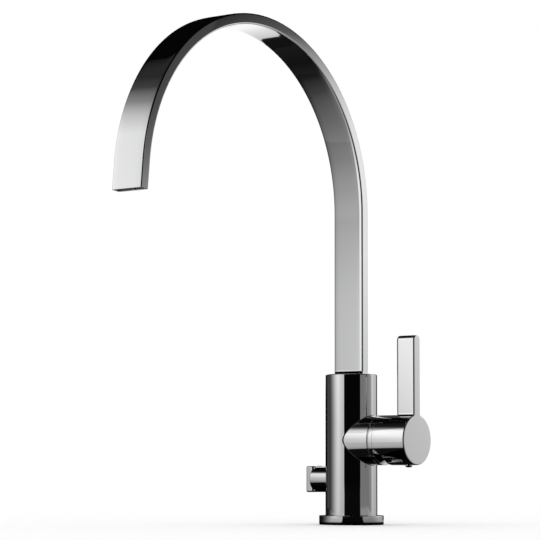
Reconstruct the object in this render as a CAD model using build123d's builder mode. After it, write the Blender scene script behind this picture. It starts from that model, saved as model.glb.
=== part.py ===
"""Three way filtered water tap: an assembly of separate pieces.

Millimetres. +Z is up, the spout reaches towards -Y, the mixer lever is on +X
and the filtered water knob on -X. The origin is the middle of the base
flange's underside, on the body's axis.
"""

from build123d import *

import os
from math import asin, cos, degrees, radians, sin, tan

os.makedirs("parts", exist_ok=True)

# ---------------------------------------------------------------- clearances
shaft_gap = 0.07          # a shaft in its hole, on the radius
air_gap = 0.3             # between faces that pass each other
fit_gap = 0.1             # between pieces that are fixed together
disc_gap = 0.05           # between the ceramic discs' lapped faces

# ---------------------------------------------------------------- base flange
flange_step = 5.5         # how far the flange stands out of the body
flange_h = 8.0
flange_edge = 0.6         # rounding of its outer edges
gasket_land = 2.0         # flange metal inside the gasket's groove
gasket_w = 4.0
gasket_h = 2.0

# ---------------------------------------------------------------- body shell
body_d = 45.0
body_top = 130.0
body_wall = 2.5
body_edge = 1.0
foot_edge = 0.4           # small rounding where the body meets the flange

# ---------------------------------------------------------------- mixer neck and handle
mixer_z = 72.7            # height of the mixer's axis
neck_d = 42.8             # neck, collar and barrel are all this wide
neck_wall = 2.4           # outside the cartridge nut's thread
neck_end_x = 31.0
edge_round = 0.6
groove_w = 0.7            # groove between the neck and the collar
groove_depth = 1.2
collar_end_x = 35.9
collar_wall = 3.2
collar_lip_w = 2.9        # lip over the nut, on the radius
collar_lip_t = 1.3
collar_screw_d = 3.0
collar_screw_x = 33.4
collar_screw_angle = 54.0  # below the front
collar_hex_d = 2.0
collar_hex_depth = 1.2

barrel_wall = 2.4
barrel_start_x = 36.3
barrel_end_x = 68.85
hub_start_x = 54.0        # the barrel is solid from here outwards
notch_top_drop = 7.2      # below the axis, where the notch for the tilt starts
notch_x = 43.5            # how far out the notch reaches
notch_bottom_drop = 14.6
lever_depth = 17.3        # along X
lever_t = 9.55            # along Y
lever_top = 162.1
lever_corner = 3.0        # top corners, seen from the end disc's side
lever_nose = 3.0          # top corner on the body's side, seen from the front
lever_root = 2.6          # concave rounding where the bar meets the barrel
plug_x = 60.0
plug_d = 6.4
plug_out = 1.9            # how far the plug stands out of the barrel
plug_len = 6.0
handle_screw_d = 6.0
handle_hex_d = 3.0
handle_hex_depth = 3.0

# ---------------------------------------------------------------- mixer cartridge
seat_x = 4.0              # floor of the cartridge's pocket
thread_step = 1.5         # from the nut's thread in to the cartridge's pocket
seat_gap = 0.2            # the cartridge in its pocket, on the radius
housing_wall = 1.7
housing_shoulder_x = 26.5
housing_roof_t = 2.2
housing_neck_wall = 2.2
housing_neck_gap = 0.7    # inside the collar's lip, on the radius
housing_end_x = 34.0
cart_base_t = 4.0
port_spread = 9.5         # hot and cold ports, each side of the axis
port_d = 6.0
port_seal_w = 1.4
port_seal_h = 1.1
disc_fixed_t = 4.0
disc_port_d = 5.0
disc_travel = 5.3         # room for the moving disc's slide, on the radius
disc_moving_t = 3.0
mix_recess_w = 11.2       # recess in the moving disc that joins the ports
mix_recess_h = 6.0
mix_recess_depth = 1.5
mix_recess_corner = 2.0
carrier_lip = 1.0         # carrier outside the moving disc
carrier_end_x = 21.2
rotor_flange_t = 2.5
rotor_end_x = 44.0
nut_end_x = 34.2
nut_gap = 0.5             # the nut's corners in the collar's bore
pivot_x = 38.0            # cross pin that the lever tilts on
pivot_drop = 7.0          # the pin lies below the mixer's axis
tilt_range = 25.0         # degrees
pin_d = 3.0
pin_inset = 2.9           # each end of the pin inside the rotor
spindle_w = 8.0
spindle_side_gap = 0.2    # each side of the spindle in the rotor's slot
spindle_end_x = 65.0
spindle_lug_r = 4.6
arm_t = 2.8
ball_d = 5.0
ball_x = 19.4

# ---------------------------------------------------------------- filtered water valve
valve_z = 39.2
knob_d = 22.7
knob_start_x = -19.2
knob_cyl_end_x = -37.0
knob_wall = 1.55
knob_bore_end_x = -28.5
grip_end_x = -42.9
grip_w = 16.0             # along Y
grip_edge = 1.0
knob_screw_x = -34.4
knob_screw_d = 4.0
knob_screw_out = 0.35
knob_hex_d = 2.0
knob_hex_depth = 2.0
head_face_x = -18.4       # face on the core that the headwork seats on
head_inner_x = -5.0
head_flange_gap = 0.5     # in the knob's bore, on the radius
head_flange_step = 0.9    # from the flange in to the thread
head_flange_end_x = -21.5
head_guide_d = 12.0
head_guide_end_x = -27.0
head_wall = 1.8
head_chamber_end_x = -13.3
valve_disc_gap = 0.2      # in the headwork's chamber, on the radius
valve_disc_t = 2.5
valve_port_d = 2.5
valve_port_spread = 3.2   # each port's distance from the valve's axis
stem_d = 7.8
stem_square = 5.6
stem_square_start_x = -28.2
stem_end_x = -36.0
head_seal_w = 1.6
head_seal_t = 1.2

# ---------------------------------------------------------------- water ways in the core
inlet_d = 9.0             # tapping size of M10x1
inlet_depth = 12.0
inlet_back = -2.0         # x of the hot and cold inlets
inlet_spread = 10.5
filter_inlet_x = -12.5
drill_d = 6.0
filter_drill_d = 5.0
filter_drill_x = -9.0
filter_cross_drop = 6.0   # the cross way lies below the spout chamber's floor
mixed_drill_x = 7.5
stud_d = 6.8              # tapping size of M8
stud_depth = 18.0

# ---------------------------------------------------------------- spout and its swivel
spout_w = 30.0
spout_t = 9.4
spout_wall = 1.2
spout_corner = 0.8
spout_start = 132.7
bend_z = 270.5            # where the riser ends and the bend starts
bend_r = 147.0
bend_angle = 174.5
tail_len = 22.0
spigot_d = 25.8
spigot_wall = 3.9
bush_wall = 2.1           # from the spigot out to the chamber's wall
chamber_spare = 2.0       # room under the spigot
cap_gap = 0.3             # round and under the turning cap
cap_t = 3.4
foot_passage_w = 24.0
foot_passage_t = 6.4
bush_len = 4.6
bush_end_gap = 1.0        # from each bush to the cap or to the spigot's end
bush_to_ring = 3.0        # from each bush to the middle of its O-ring
ring_to_stop = 4.7        # from each O-ring to the stop screw's level
oring_section = 2.6
stop_pin_d = 3.0
stop_screw_d = 4.8
stop_hex_d = 2.5
stop_hex_depth = 2.5
stop_groove_depth = 1.5
stop_groove_spare = 2.0   # degrees at each end of the groove
swivel_range = 60.0       # degrees each way
filter_tube_d = 6.0
filter_tube_wall = 0.8
filter_socket_d = 8.0
filter_tube_dip = 3.4     # how far the tube goes into its socket
filter_seal_h = 1.8
filter_seal_drop = 0.8    # from the socket's mouth down to the seal
mouth_inset = 1.5
insert_len = 10.0
insert_rib = 1.0
insert_cells = 8
nozzle_d = 6.4
nozzle_bore_d = 3.6
nozzle_len = 7.0
nozzle_inset = 0.8

# ---------------------------------------------------------------- sizes that follow
body_r = body_d / 2
flange_r = body_r + flange_step
shell_bore_r = body_r - body_wall
core_r = shell_bore_r - fit_gap
gasket_in_r = shell_bore_r + gasket_land
gasket_out_r = gasket_in_r + gasket_w
spigot_bore_d = spigot_d - 2 * spigot_wall
chamber_d = spigot_d + 2 * bush_wall
cap_bottom = body_top - cap_t
chamber_roof = cap_bottom - cap_gap
bush_top_z = cap_bottom - bush_end_gap - bush_len
ring_top_z = bush_top_z - bush_to_ring
stop_z = ring_top_z - ring_to_stop
ring_low_z = stop_z - ring_to_stop
bush_bottom_z = ring_low_z - bush_to_ring - bush_len
spigot_bottom = bush_bottom_z - bush_end_gap
chamber_floor = spigot_bottom - chamber_spare
filter_cross_z = chamber_floor - filter_cross_drop
filter_tube_bottom = chamber_floor - filter_tube_dip
neck_r = neck_d / 2
nut_thread_d = neck_d - 2 * neck_wall
seat_d = nut_thread_d - 2 * thread_step
collar_in_d = neck_d - 2 * collar_wall
collar_lip_d = collar_in_d - 2 * collar_lip_w
nut_d = collar_in_d - 2 * nut_gap
housing_d = seat_d - 2 * seat_gap
housing_bore_d = housing_d - 2 * housing_wall
housing_neck_d = collar_lip_d - 2 * housing_neck_gap
disc_fixed_d = housing_bore_d - 2 * air_gap
disc_moving_d = disc_fixed_d - 2 * disc_travel
carrier_d = disc_moving_d + 2 * carrier_lip
rotor_flange_d = disc_fixed_d
rotor_d = housing_neck_d - 2 * housing_neck_wall
rotor_slot_w = spindle_w + 2 * spindle_side_gap
pin_len = rotor_d - 2 * pin_inset
barrel_d = neck_d
barrel_r = barrel_d / 2
barrel_bore_d = barrel_d - 2 * barrel_wall
knob_bore_d = knob_d - 2 * knob_wall
head_flange_d = knob_bore_d - 2 * head_flange_gap
head_thread_d = head_flange_d - 2 * head_flange_step
head_chamber_d = head_thread_d - 2 * head_wall
valve_disc_d = head_chamber_d - 2 * valve_disc_gap
pivot_z = mixer_z - pivot_drop
disc_fixed_x = seat_x + air_gap + cart_base_t
disc_moving_x = disc_fixed_x + disc_fixed_t + disc_gap
carrier_x = disc_moving_x + disc_moving_t
rotor_flange_x = carrier_end_x + air_gap
ball_reach = pivot_x - ball_x
arm_angle = tilt_range / 2
ball_z = pivot_z - ball_reach * tan(radians(arm_angle))
carrier_z = ball_z + pivot_drop
ports = ((-port_spread, 0), (port_spread, 0), (0, port_spread))


def disc_x(x0, x1, diameter, z, y=0.0, mode=Mode.ADD):
    """A cylinder along X between x0 and x1, at height z."""
    with BuildSketch(Plane.YZ.offset(x0)) as outline:
        with Locations((y, z)):
            Circle(diameter / 2)
    extrude(outline.sketch, amount=x1 - x0, mode=mode)


def disc_z(z0, z1, diameter, x=0.0, y=0.0, mode=Mode.ADD):
    """A cylinder along Z between z0 and z1."""
    with BuildSketch(Plane.XY.offset(z0)) as outline:
        with Locations((x, y)):
            Circle(diameter / 2)
    extrude(outline.sketch, amount=z1 - z0, mode=mode)


def ring_x(x0, x1, outer_d, inner_d, z):
    """A ring along X between x0 and x1."""
    disc_x(x0, x1, outer_d, z)
    disc_x(x0, x1, inner_d, z, mode=Mode.SUBTRACT)


def ring_z(z0, z1, outer_d, inner_d):
    """A ring round the body's axis between z0 and z1."""
    disc_z(z0, z1, outer_d)
    disc_z(z0, z1, inner_d, mode=Mode.SUBTRACT)


def save(part, label):
    """Label a finished piece and write its file."""
    part.label = label
    export_step(part, f"parts/{label}.step")


# ================================================================ base and body
with BuildPart() as base_flange:
    ring_z(0, flange_h, 2 * flange_r, 2 * shell_bore_r)
    outer_edges = base_flange.edges().filter_by(GeomType.CIRCLE).sort_by(SortBy.RADIUS)[-2:]
    fillet(outer_edges, flange_edge)
    with BuildSketch():
        Circle(gasket_out_r)
        Circle(gasket_in_r, mode=Mode.SUBTRACT)
    extrude(amount=gasket_h, mode=Mode.SUBTRACT)
save(base_flange.part, "base_flange")

with BuildPart() as base_gasket:
    ring_z(0, gasket_h, 2 * gasket_out_r, 2 * gasket_in_r)
save(base_gasket.part, "base_gasket")

knob_hole_d = knob_d + 2 * air_gap
with BuildPart() as body_shell:
    disc_z(flange_h, body_top, body_d)
    top_edge = body_shell.edges().group_by(Axis.Z)[-1]
    fillet(top_edge, body_edge)
    foot_circle = body_shell.edges().group_by(Axis.Z)[0]
    fillet(foot_circle, foot_edge)
    disc_x(0, neck_end_x, neck_d, mixer_z)
    neck_edge = body_shell.edges().group_by(Axis.X)[-1]
    fillet(neck_edge, edge_round)
    disc_z(flange_h, body_top, 2 * shell_bore_r, mode=Mode.SUBTRACT)
    disc_x(0, neck_end_x, seat_d, mixer_z, mode=Mode.SUBTRACT)
    disc_x(housing_shoulder_x, neck_end_x, nut_thread_d, mixer_z, mode=Mode.SUBTRACT)
    disc_x(-body_r, 0, knob_hole_d, valve_z, mode=Mode.SUBTRACT)
    with BuildSketch(Plane.XZ):
        with Locations((0, stop_z)):
            Circle(stop_screw_d / 2)
    extrude(amount=-body_r, mode=Mode.SUBTRACT)
save(body_shell.part, "body_shell")

with BuildPart() as body_core:
    disc_z(0, chamber_roof, 2 * core_r)
    # pocket and thread for the mixer and the filtered water valve
    disc_x(seat_x, body_r, seat_d, mixer_z, mode=Mode.SUBTRACT)
    disc_x(head_face_x, -body_r, knob_hole_d, valve_z, mode=Mode.SUBTRACT)
    disc_x(head_inner_x, -body_r, head_thread_d, valve_z, mode=Mode.SUBTRACT)
    head_seal_d = head_thread_d + 2 * head_seal_w
    disc_x(head_face_x, head_face_x + head_seal_t, head_seal_d, valve_z, mode=Mode.SUBTRACT)
    # chamber that the spout turns in, and the stop screw's hole
    disc_z(chamber_floor, chamber_roof, chamber_d, mode=Mode.SUBTRACT)
    with BuildSketch(Plane.XZ):
        with Locations((0, stop_z)):
            Circle(stop_screw_d / 2)
    extrude(amount=-body_r, mode=Mode.SUBTRACT)
    # hot and cold: inlet thread, riser and port into the cartridge's seat
    for side in (-1, 1):
        disc_z(0, inlet_depth, inlet_d, inlet_back, side * inlet_spread, mode=Mode.SUBTRACT)
        disc_z(0, mixer_z, drill_d, inlet_back, side * inlet_spread, mode=Mode.SUBTRACT)
        disc_x(inlet_back, seat_x, port_d, mixer_z, side * port_spread, mode=Mode.SUBTRACT)
    # mixed water: from the cartridge's pocket up to the chamber
    disc_z(mixer_z, chamber_floor, drill_d, mixed_drill_x, mode=Mode.SUBTRACT)
    # filtered water: inlet, valve, riser, and cross way to the tube's socket
    disc_z(0, inlet_depth, inlet_d, filter_inlet_x, mode=Mode.SUBTRACT)
    disc_z(0, valve_z, filter_drill_d, filter_inlet_x, mode=Mode.SUBTRACT)
    disc_z(valve_z, filter_cross_z, filter_drill_d, filter_drill_x, mode=Mode.SUBTRACT)
    disc_x(filter_drill_x, 0, filter_drill_d, filter_cross_z, mode=Mode.SUBTRACT)
    disc_z(filter_cross_z, chamber_floor, filter_drill_d, mode=Mode.SUBTRACT)
    disc_z(filter_tube_bottom - air_gap, chamber_floor, filter_socket_d, mode=Mode.SUBTRACT)
    # thread for the fixing stud
    disc_z(0, stud_depth, stud_d, mode=Mode.SUBTRACT)
save(body_core.part, "body_core")

stop_tip_r = spigot_d / 2 - stop_groove_depth + air_gap
with BuildPart() as spout_stop_screw:
    with BuildSketch(Plane.XZ.offset(-chamber_d / 2)):
        with Locations((0, stop_z)):
            Circle(stop_screw_d / 2 - fit_gap)
    extrude(amount=chamber_d / 2 - body_r + edge_round)
    with BuildSketch(Plane.XZ.offset(-stop_tip_r)):
        with Locations((0, stop_z)):
            Circle(stop_pin_d / 2)
    extrude(amount=stop_tip_r - chamber_d / 2)
    with BuildSketch(Plane.XZ.offset(-(body_r - edge_round))):
        with Locations((0, stop_z)):
            RegularPolygon(stop_hex_d / 2, 6)
    extrude(amount=stop_hex_depth, mode=Mode.SUBTRACT)
save(spout_stop_screw.part, "spout_stop_screw")

bush_in_d = spigot_d + 2 * shaft_gap
for bush_name, bush_z in (("swivel_bush_lower", bush_bottom_z), ("swivel_bush_upper", bush_top_z)):
    with BuildPart() as swivel_bush:
        ring_z(bush_z, bush_z + bush_len, chamber_d, bush_in_d)
    save(swivel_bush.part, bush_name)

# ================================================================ mixer: collar and nut
collar_start_x = neck_end_x
collar_face_x = neck_end_x + groove_w
screw_place = Plane(
    origin=(collar_screw_x, 0, mixer_z),
    x_dir=(1, 0, 0),
    z_dir=(0, -cos(radians(collar_screw_angle)), -sin(radians(collar_screw_angle))),
)
with BuildPart() as collar_ring:
    disc_x(collar_face_x, collar_end_x, neck_d, mixer_z)
    fillet(collar_ring.edges().group_by(Axis.X)[-1], edge_round)
    fillet(collar_ring.edges().group_by(Axis.X)[0], edge_round)
    disc_x(collar_start_x, collar_face_x, neck_d - 2 * groove_depth, mixer_z)
    disc_x(collar_start_x, collar_end_x - collar_lip_t, collar_in_d, mixer_z, mode=Mode.SUBTRACT)
    disc_x(collar_start_x, collar_end_x, collar_lip_d, mixer_z, mode=Mode.SUBTRACT)
    with BuildSketch(screw_place):
        Circle(collar_screw_d / 2)
    extrude(amount=neck_d, mode=Mode.SUBTRACT)
save(collar_ring.part, "collar_ring")

with BuildPart() as collar_screw:
    with BuildSketch(screw_place.offset(collar_in_d / 2)):
        Circle(collar_screw_d / 2 - fit_gap / 2)
    extrude(amount=neck_r - collar_in_d / 2 - fit_gap)
    with BuildSketch(screw_place.offset(neck_r)):
        RegularPolygon(collar_hex_d / 2, 6)
    extrude(amount=-collar_hex_depth, mode=Mode.SUBTRACT)
save(collar_screw.part, "collar_screw")

with BuildPart() as cartridge_nut:
    disc_x(housing_shoulder_x, neck_end_x, nut_thread_d - fit_gap, mixer_z)
    with BuildSketch(Plane.YZ.offset(neck_end_x)):
        with Locations((0, mixer_z)):
            RegularPolygon(nut_d / 2, 6)
    extrude(amount=nut_end_x - neck_end_x)
    disc_x(housing_shoulder_x, nut_end_x, housing_neck_d + 2 * fit_gap, mixer_z, mode=Mode.SUBTRACT)
save(cartridge_nut.part, "cartridge_nut")

# ================================================================ mixer: cartridge, fixed pieces
with BuildPart() as cartridge_base:
    disc_x(seat_x + air_gap, disc_fixed_x, housing_d, mixer_z)
    for port_y, port_z in ports:
        disc_x(seat_x, disc_fixed_x, port_d, mixer_z + port_z, port_y, mode=Mode.SUBTRACT)
    for port_y, port_z in ports:
        recess_end = seat_x + port_seal_h
        disc_x(seat_x, recess_end, port_d + 2 * port_seal_w, mixer_z + port_z, port_y, mode=Mode.SUBTRACT)
save(cartridge_base.part, "cartridge_base")

with BuildPart() as cartridge_seals:
    for port_y, port_z in ports:
        disc_x(seat_x, seat_x + port_seal_h, port_d + 2 * port_seal_w, mixer_z + port_z, port_y)
    for port_y, port_z in ports:
        disc_x(seat_x, seat_x + port_seal_h, port_d, mixer_z + port_z, port_y, mode=Mode.SUBTRACT)
save(cartridge_seals.part, "cartridge_seals")

with BuildPart() as cartridge_housing:
    disc_x(disc_fixed_x, housing_shoulder_x, housing_d, mixer_z)
    disc_x(housing_shoulder_x, housing_end_x, housing_neck_d, mixer_z)
    disc_x(disc_fixed_x, housing_shoulder_x - housing_roof_t, housing_bore_d, mixer_z, mode=Mode.SUBTRACT)
    disc_x(disc_fixed_x, housing_end_x, rotor_d + 2 * shaft_gap, mixer_z, mode=Mode.SUBTRACT)
save(cartridge_housing.part, "cartridge_housing")

with BuildPart() as ceramic_disc_fixed:
    disc_x(disc_fixed_x, disc_fixed_x + disc_fixed_t, disc_fixed_d, mixer_z)
    for port_y, port_z in ports:
        disc_x(disc_fixed_x, disc_moving_x, disc_port_d, mixer_z + port_z, port_y, mode=Mode.SUBTRACT)
save(ceramic_disc_fixed.part, "ceramic_disc_fixed")

# ================================================================ mixer: cartridge, moving pieces
with BuildPart() as ceramic_disc_moving:
    disc_x(disc_moving_x, carrier_x, disc_moving_d, carrier_z)
    with BuildSketch(Plane.YZ.offset(disc_moving_x)):
        with Locations((0, carrier_z)):
            RectangleRounded(mix_recess_w, mix_recess_h, mix_recess_corner)
    extrude(amount=mix_recess_depth, mode=Mode.SUBTRACT)
save(ceramic_disc_moving.part, "ceramic_disc_moving")

with BuildPart() as disc_carrier:
    disc_x(carrier_x, carrier_end_x, carrier_d, carrier_z)
    disc_x(carrier_x + disc_gap, carrier_end_x, ball_d + 2 * fit_gap, ball_z, mode=Mode.SUBTRACT)
save(disc_carrier.part, "disc_carrier")

rotor_window_top = pivot_z + ball_reach * tan(radians(arm_angle)) + arm_t / 2 + air_gap
with BuildPart() as cartridge_rotor:
    disc_x(rotor_flange_x, rotor_flange_x + rotor_flange_t, rotor_flange_d, mixer_z)
    disc_x(rotor_flange_x, rotor_end_x, rotor_d, mixer_z)
    with BuildSketch(Plane.XZ):
        slot_x = rotor_flange_x + rotor_flange_t
        with Locations(((slot_x + rotor_end_x) / 2, mixer_z)):
            Rectangle(rotor_end_x - slot_x, rotor_flange_d)
        window_low = mixer_z - rotor_d / 2
        with Locations((rotor_flange_x + rotor_flange_t / 2, (window_low + rotor_window_top) / 2)):
            Rectangle(rotor_flange_t, rotor_window_top - window_low)
    extrude(amount=rotor_slot_w / 2, both=True, mode=Mode.SUBTRACT)
    with BuildSketch(Plane.XZ):
        with Locations((pivot_x, pivot_z)):
            Circle(pin_d / 2 + fit_gap / 2)
    extrude(amount=rotor_d, both=True, mode=Mode.SUBTRACT)
save(cartridge_rotor.part, "cartridge_rotor")

with BuildPart() as spindle_pin:
    with BuildSketch(Plane.XZ):
        with Locations((pivot_x, pivot_z)):
            Circle(pin_d / 2)
    extrude(amount=pin_len / 2, both=True)
save(spindle_pin.part, "spindle_pin")

arm_len = ball_reach / cos(radians(arm_angle))
trim_h = 2 * rotor_flange_d
with BuildPart() as cartridge_spindle:
    with BuildSketch(Plane.XZ):
        # square bar that carries the handle
        with Locations(((pivot_x + spindle_end_x) / 2, mixer_z)):
            Rectangle(spindle_end_x - pivot_x, spindle_w)
        # lug round the cross pin, and the web up to the bar
        with Locations((pivot_x, pivot_z)):
            Circle(spindle_lug_r)
        with Locations((pivot_x + spindle_lug_r / 2, (pivot_z + mixer_z) / 2)):
            Rectangle(2 * spindle_lug_r, pivot_drop)
        # arm down to the ball
        with Locations(Location((pivot_x, pivot_z, 0), (0, 0, arm_angle))):
            with Locations((-arm_len / 2, 0)):
                Rectangle(arm_len, arm_t)
    extrude(amount=spindle_w / 2, both=True)
    # the arm is slimmer than the bar from the rotor's flange inwards
    with BuildSketch(Plane.YZ.offset(ball_x - ball_d)):
        with Locations((0, mixer_z)):
            Rectangle(rotor_d, trim_h)
            Rectangle(arm_t, trim_h, mode=Mode.SUBTRACT)
    extrude(amount=slot_x + air_gap - ball_x + ball_d, mode=Mode.SUBTRACT)
    with Locations((ball_x, 0, ball_z)):
        Sphere(ball_d / 2)
    with BuildSketch(Plane.XZ):
        with Locations((pivot_x, pivot_z)):
            Circle(pin_d / 2 + shaft_gap)
    extrude(amount=rotor_d, both=True, mode=Mode.SUBTRACT)
save(cartridge_spindle.part, "cartridge_spindle")

# ================================================================ mixer: handle
lever_start_x = barrel_end_x - lever_depth
socket = spindle_w + 2 * fit_gap
with BuildPart() as lever_handle:
    # barrel
    disc_x(barrel_start_x, barrel_end_x, barrel_d, mixer_z)
    # bar, drawn with the barrel's end so that the concave roots come out in one outline
    with BuildSketch(Plane.YZ.offset(lever_start_x)) as bar_outline:
        with Locations((0, mixer_z)):
            Circle(barrel_r)
        with Locations((0, (mixer_z + lever_top) / 2)):
            Rectangle(lever_t, lever_top - mixer_z)
        by_height = bar_outline.vertices().group_by(Axis.Y)
        fillet(by_height[-1], lever_corner)
        fillet(by_height[-2], lever_root)
    extrude(amount=lever_depth)
    # small rounding round the end disc and the bar
    end_outline = lever_handle.faces().sort_by(Axis.X)[-1].edges()
    fillet(end_outline, edge_round)
    # rounded top corner on the body's side
    with BuildSketch(Plane.XZ):
        with Locations((lever_start_x, lever_top)):
            Rectangle(2 * lever_nose, 2 * lever_nose)
        with Locations((lever_start_x + lever_nose, lever_top - lever_nose)):
            Circle(lever_nose, mode=Mode.SUBTRACT)
            Rectangle(lever_nose, 2 * lever_nose, align=(Align.MIN, Align.CENTER), mode=Mode.SUBTRACT)
            Rectangle(2 * lever_nose, lever_nose, align=(Align.CENTER, Align.MAX), mode=Mode.SUBTRACT)
    extrude(amount=lever_t, both=True, mode=Mode.SUBTRACT)
    # bore, notch for the tilt, socket and screw hole
    disc_x(barrel_start_x, hub_start_x, barrel_bore_d, mixer_z, mode=Mode.SUBTRACT)
    with BuildSketch(Plane.XZ):
        with BuildLine():
            Polyline(
                (barrel_start_x, mixer_z - notch_top_drop),
                (notch_x, mixer_z - notch_bottom_drop),
                (notch_x, mixer_z - barrel_d),
                (barrel_start_x, mixer_z - barrel_d),
                close=True,
            )
        make_face()
    extrude(amount=barrel_d, both=True, mode=Mode.SUBTRACT)
    with BuildSketch(Plane.YZ.offset(hub_start_x)):
        with Locations((0, mixer_z)):
            Rectangle(socket, socket)
    extrude(amount=spindle_end_x + fit_gap - hub_start_x, mode=Mode.SUBTRACT)
    disc_z(mixer_z - barrel_d, mixer_z, handle_screw_d, plug_x, mode=Mode.SUBTRACT)
    disc_z(mixer_z - barrel_d, mixer_z - barrel_r + plug_len - plug_out, plug_d, plug_x, mode=Mode.SUBTRACT)
save(lever_handle.part, "lever_handle")

screw_low = mixer_z - barrel_r + plug_len - plug_out + fit_gap
screw_high = mixer_z - spindle_w / 2
with BuildPart() as handle_grub_screw:
    disc_z(screw_low, screw_high, handle_screw_d - fit_gap, plug_x)
    with BuildSketch(Plane.XY.offset(screw_low)):
        with Locations((plug_x, 0)):
            RegularPolygon(handle_hex_d / 2, 6)
    extrude(amount=handle_hex_depth, mode=Mode.SUBTRACT)
save(handle_grub_screw.part, "handle_grub_screw")

with BuildPart() as handle_plug:
    plug_low = mixer_z - barrel_r - plug_out
    disc_z(plug_low, plug_low + plug_len, plug_d - fit_gap, plug_x)
    fillet(handle_plug.edges().group_by(Axis.Z)[0], edge_round)
save(handle_plug.part, "handle_plug")

# ================================================================ filtered water valve
with BuildPart() as filter_headwork:
    disc_x(head_inner_x, head_face_x, head_thread_d - fit_gap, valve_z)
    disc_x(head_face_x, head_flange_end_x, head_flange_d, valve_z)
    disc_x(head_flange_end_x, head_guide_end_x, head_guide_d, valve_z)
    disc_x(head_inner_x, head_chamber_end_x, head_chamber_d, valve_z, mode=Mode.SUBTRACT)
    disc_x(head_inner_x, head_guide_end_x, stem_d + 2 * shaft_gap, valve_z, mode=Mode.SUBTRACT)
    disc_z(valve_z - head_thread_d, valve_z, filter_drill_d, filter_inlet_x, mode=Mode.SUBTRACT)
save(filter_headwork.part, "filter_headwork")

with BuildPart() as headwork_seal:
    ring_x(head_face_x, head_face_x + head_seal_t, head_seal_d, head_thread_d, valve_z)
save(headwork_seal.part, "headwork_seal")

valve_moving_x = head_inner_x - valve_disc_t - disc_gap
valve_stem_x = valve_moving_x - valve_disc_t
with BuildPart() as valve_disc_fixed:
    disc_x(head_inner_x, head_inner_x - valve_disc_t, valve_disc_d, valve_z)
    for port_y in (-valve_port_spread, valve_port_spread):
        disc_x(head_inner_x, valve_moving_x, valve_port_d, valve_z, port_y, mode=Mode.SUBTRACT)
save(valve_disc_fixed.part, "valve_disc_fixed")

with BuildPart() as valve_disc_moving:
    disc_x(valve_moving_x, valve_stem_x, valve_disc_d, valve_z)
    for port_z in (valve_z - valve_port_spread, valve_z + valve_port_spread):
        disc_x(valve_moving_x, valve_stem_x, valve_port_d, port_z, mode=Mode.SUBTRACT)
save(valve_disc_moving.part, "valve_disc_moving")

with BuildPart() as valve_stem:
    disc_x(valve_stem_x, head_chamber_end_x + air_gap, valve_disc_d, valve_z)
    disc_x(head_chamber_end_x + air_gap, stem_square_start_x, stem_d, valve_z)
    with BuildSketch(Plane.YZ.offset(stem_square_start_x)):
        with Locations((0, valve_z)):
            Rectangle(stem_square, stem_square)
    extrude(amount=stem_end_x - stem_square_start_x)
save(valve_stem.part, "valve_stem")

with BuildPart() as filter_knob:
    with BuildSketch(Plane.YZ.offset(knob_cyl_end_x)):
        with Locations((0, valve_z)):
            Rectangle(grip_w, knob_d)
    extrude(amount=grip_end_x - knob_cyl_end_x)
    fillet(filter_knob.edges(), grip_edge)
    disc_x(knob_start_x, knob_cyl_end_x - grip_edge, knob_d, valve_z)
    disc_x(knob_start_x, knob_bore_end_x, knob_bore_d, valve_z, mode=Mode.SUBTRACT)
    with BuildSketch(Plane.YZ.offset(knob_bore_end_x)):
        with Locations((0, valve_z)):
            Rectangle(stem_square + 2 * fit_gap, stem_square + 2 * fit_gap)
    extrude(amount=stem_end_x - fit_gap - knob_bore_end_x, mode=Mode.SUBTRACT)
    disc_z(valve_z, valve_z + knob_d, knob_screw_d, knob_screw_x, mode=Mode.SUBTRACT)
save(filter_knob.part, "filter_knob")

with BuildPart() as knob_grub_screw:
    screw_top = valve_z + knob_d / 2 + knob_screw_out
    disc_z(valve_z + stem_square / 2, screw_top, knob_screw_d - fit_gap, knob_screw_x)
    with BuildSketch(Plane.XY.offset(screw_top)):
        with Locations((knob_screw_x, 0)):
            RegularPolygon(knob_hex_d / 2, 6)
    extrude(amount=-knob_hex_depth, mode=Mode.SUBTRACT)
save(knob_grub_screw.part, "knob_grub_screw")

# ================================================================ spout
bend_end = radians(bend_angle)
bend_centre = (-bend_r, bend_z)
bend_stop = (bend_centre[0] + bend_r * cos(bend_end), bend_centre[1] + bend_r * sin(bend_end))
tail_dir = (-sin(bend_end), cos(bend_end))


def along_tail(distance):
    """(y, z) on the spout's middle line, a distance past the bend's end."""
    return (bend_stop[0] + tail_dir[0] * distance, bend_stop[1] + tail_dir[1] * distance)


def spout_line(start_z, tail_end):
    """The spout's middle line from start_z on the riser to tail_end past the bend."""
    Line((0, start_z), (0, bend_z))
    CenterArc(bend_centre, bend_r, 0, bend_angle)
    Line(bend_stop, along_tail(tail_end))


mouth_plane = Plane(
    origin=(0, *along_tail(tail_len)),
    x_dir=(1, 0, 0),
    z_dir=(0, *tail_dir),
)

with BuildPart() as spout_tube:
    with BuildLine(Plane.YZ) as tube_line:
        spout_line(spout_start, tail_len)
    with BuildSketch(Plane.XY.offset(spout_start)):
        RectangleRounded(spout_w, spout_t, spout_corner)
        Rectangle(spout_w - 2 * spout_wall, spout_t - 2 * spout_wall, mode=Mode.SUBTRACT)
    sweep(path=tube_line.wires()[0])
save(spout_tube.part, "spout_tube")

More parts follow.
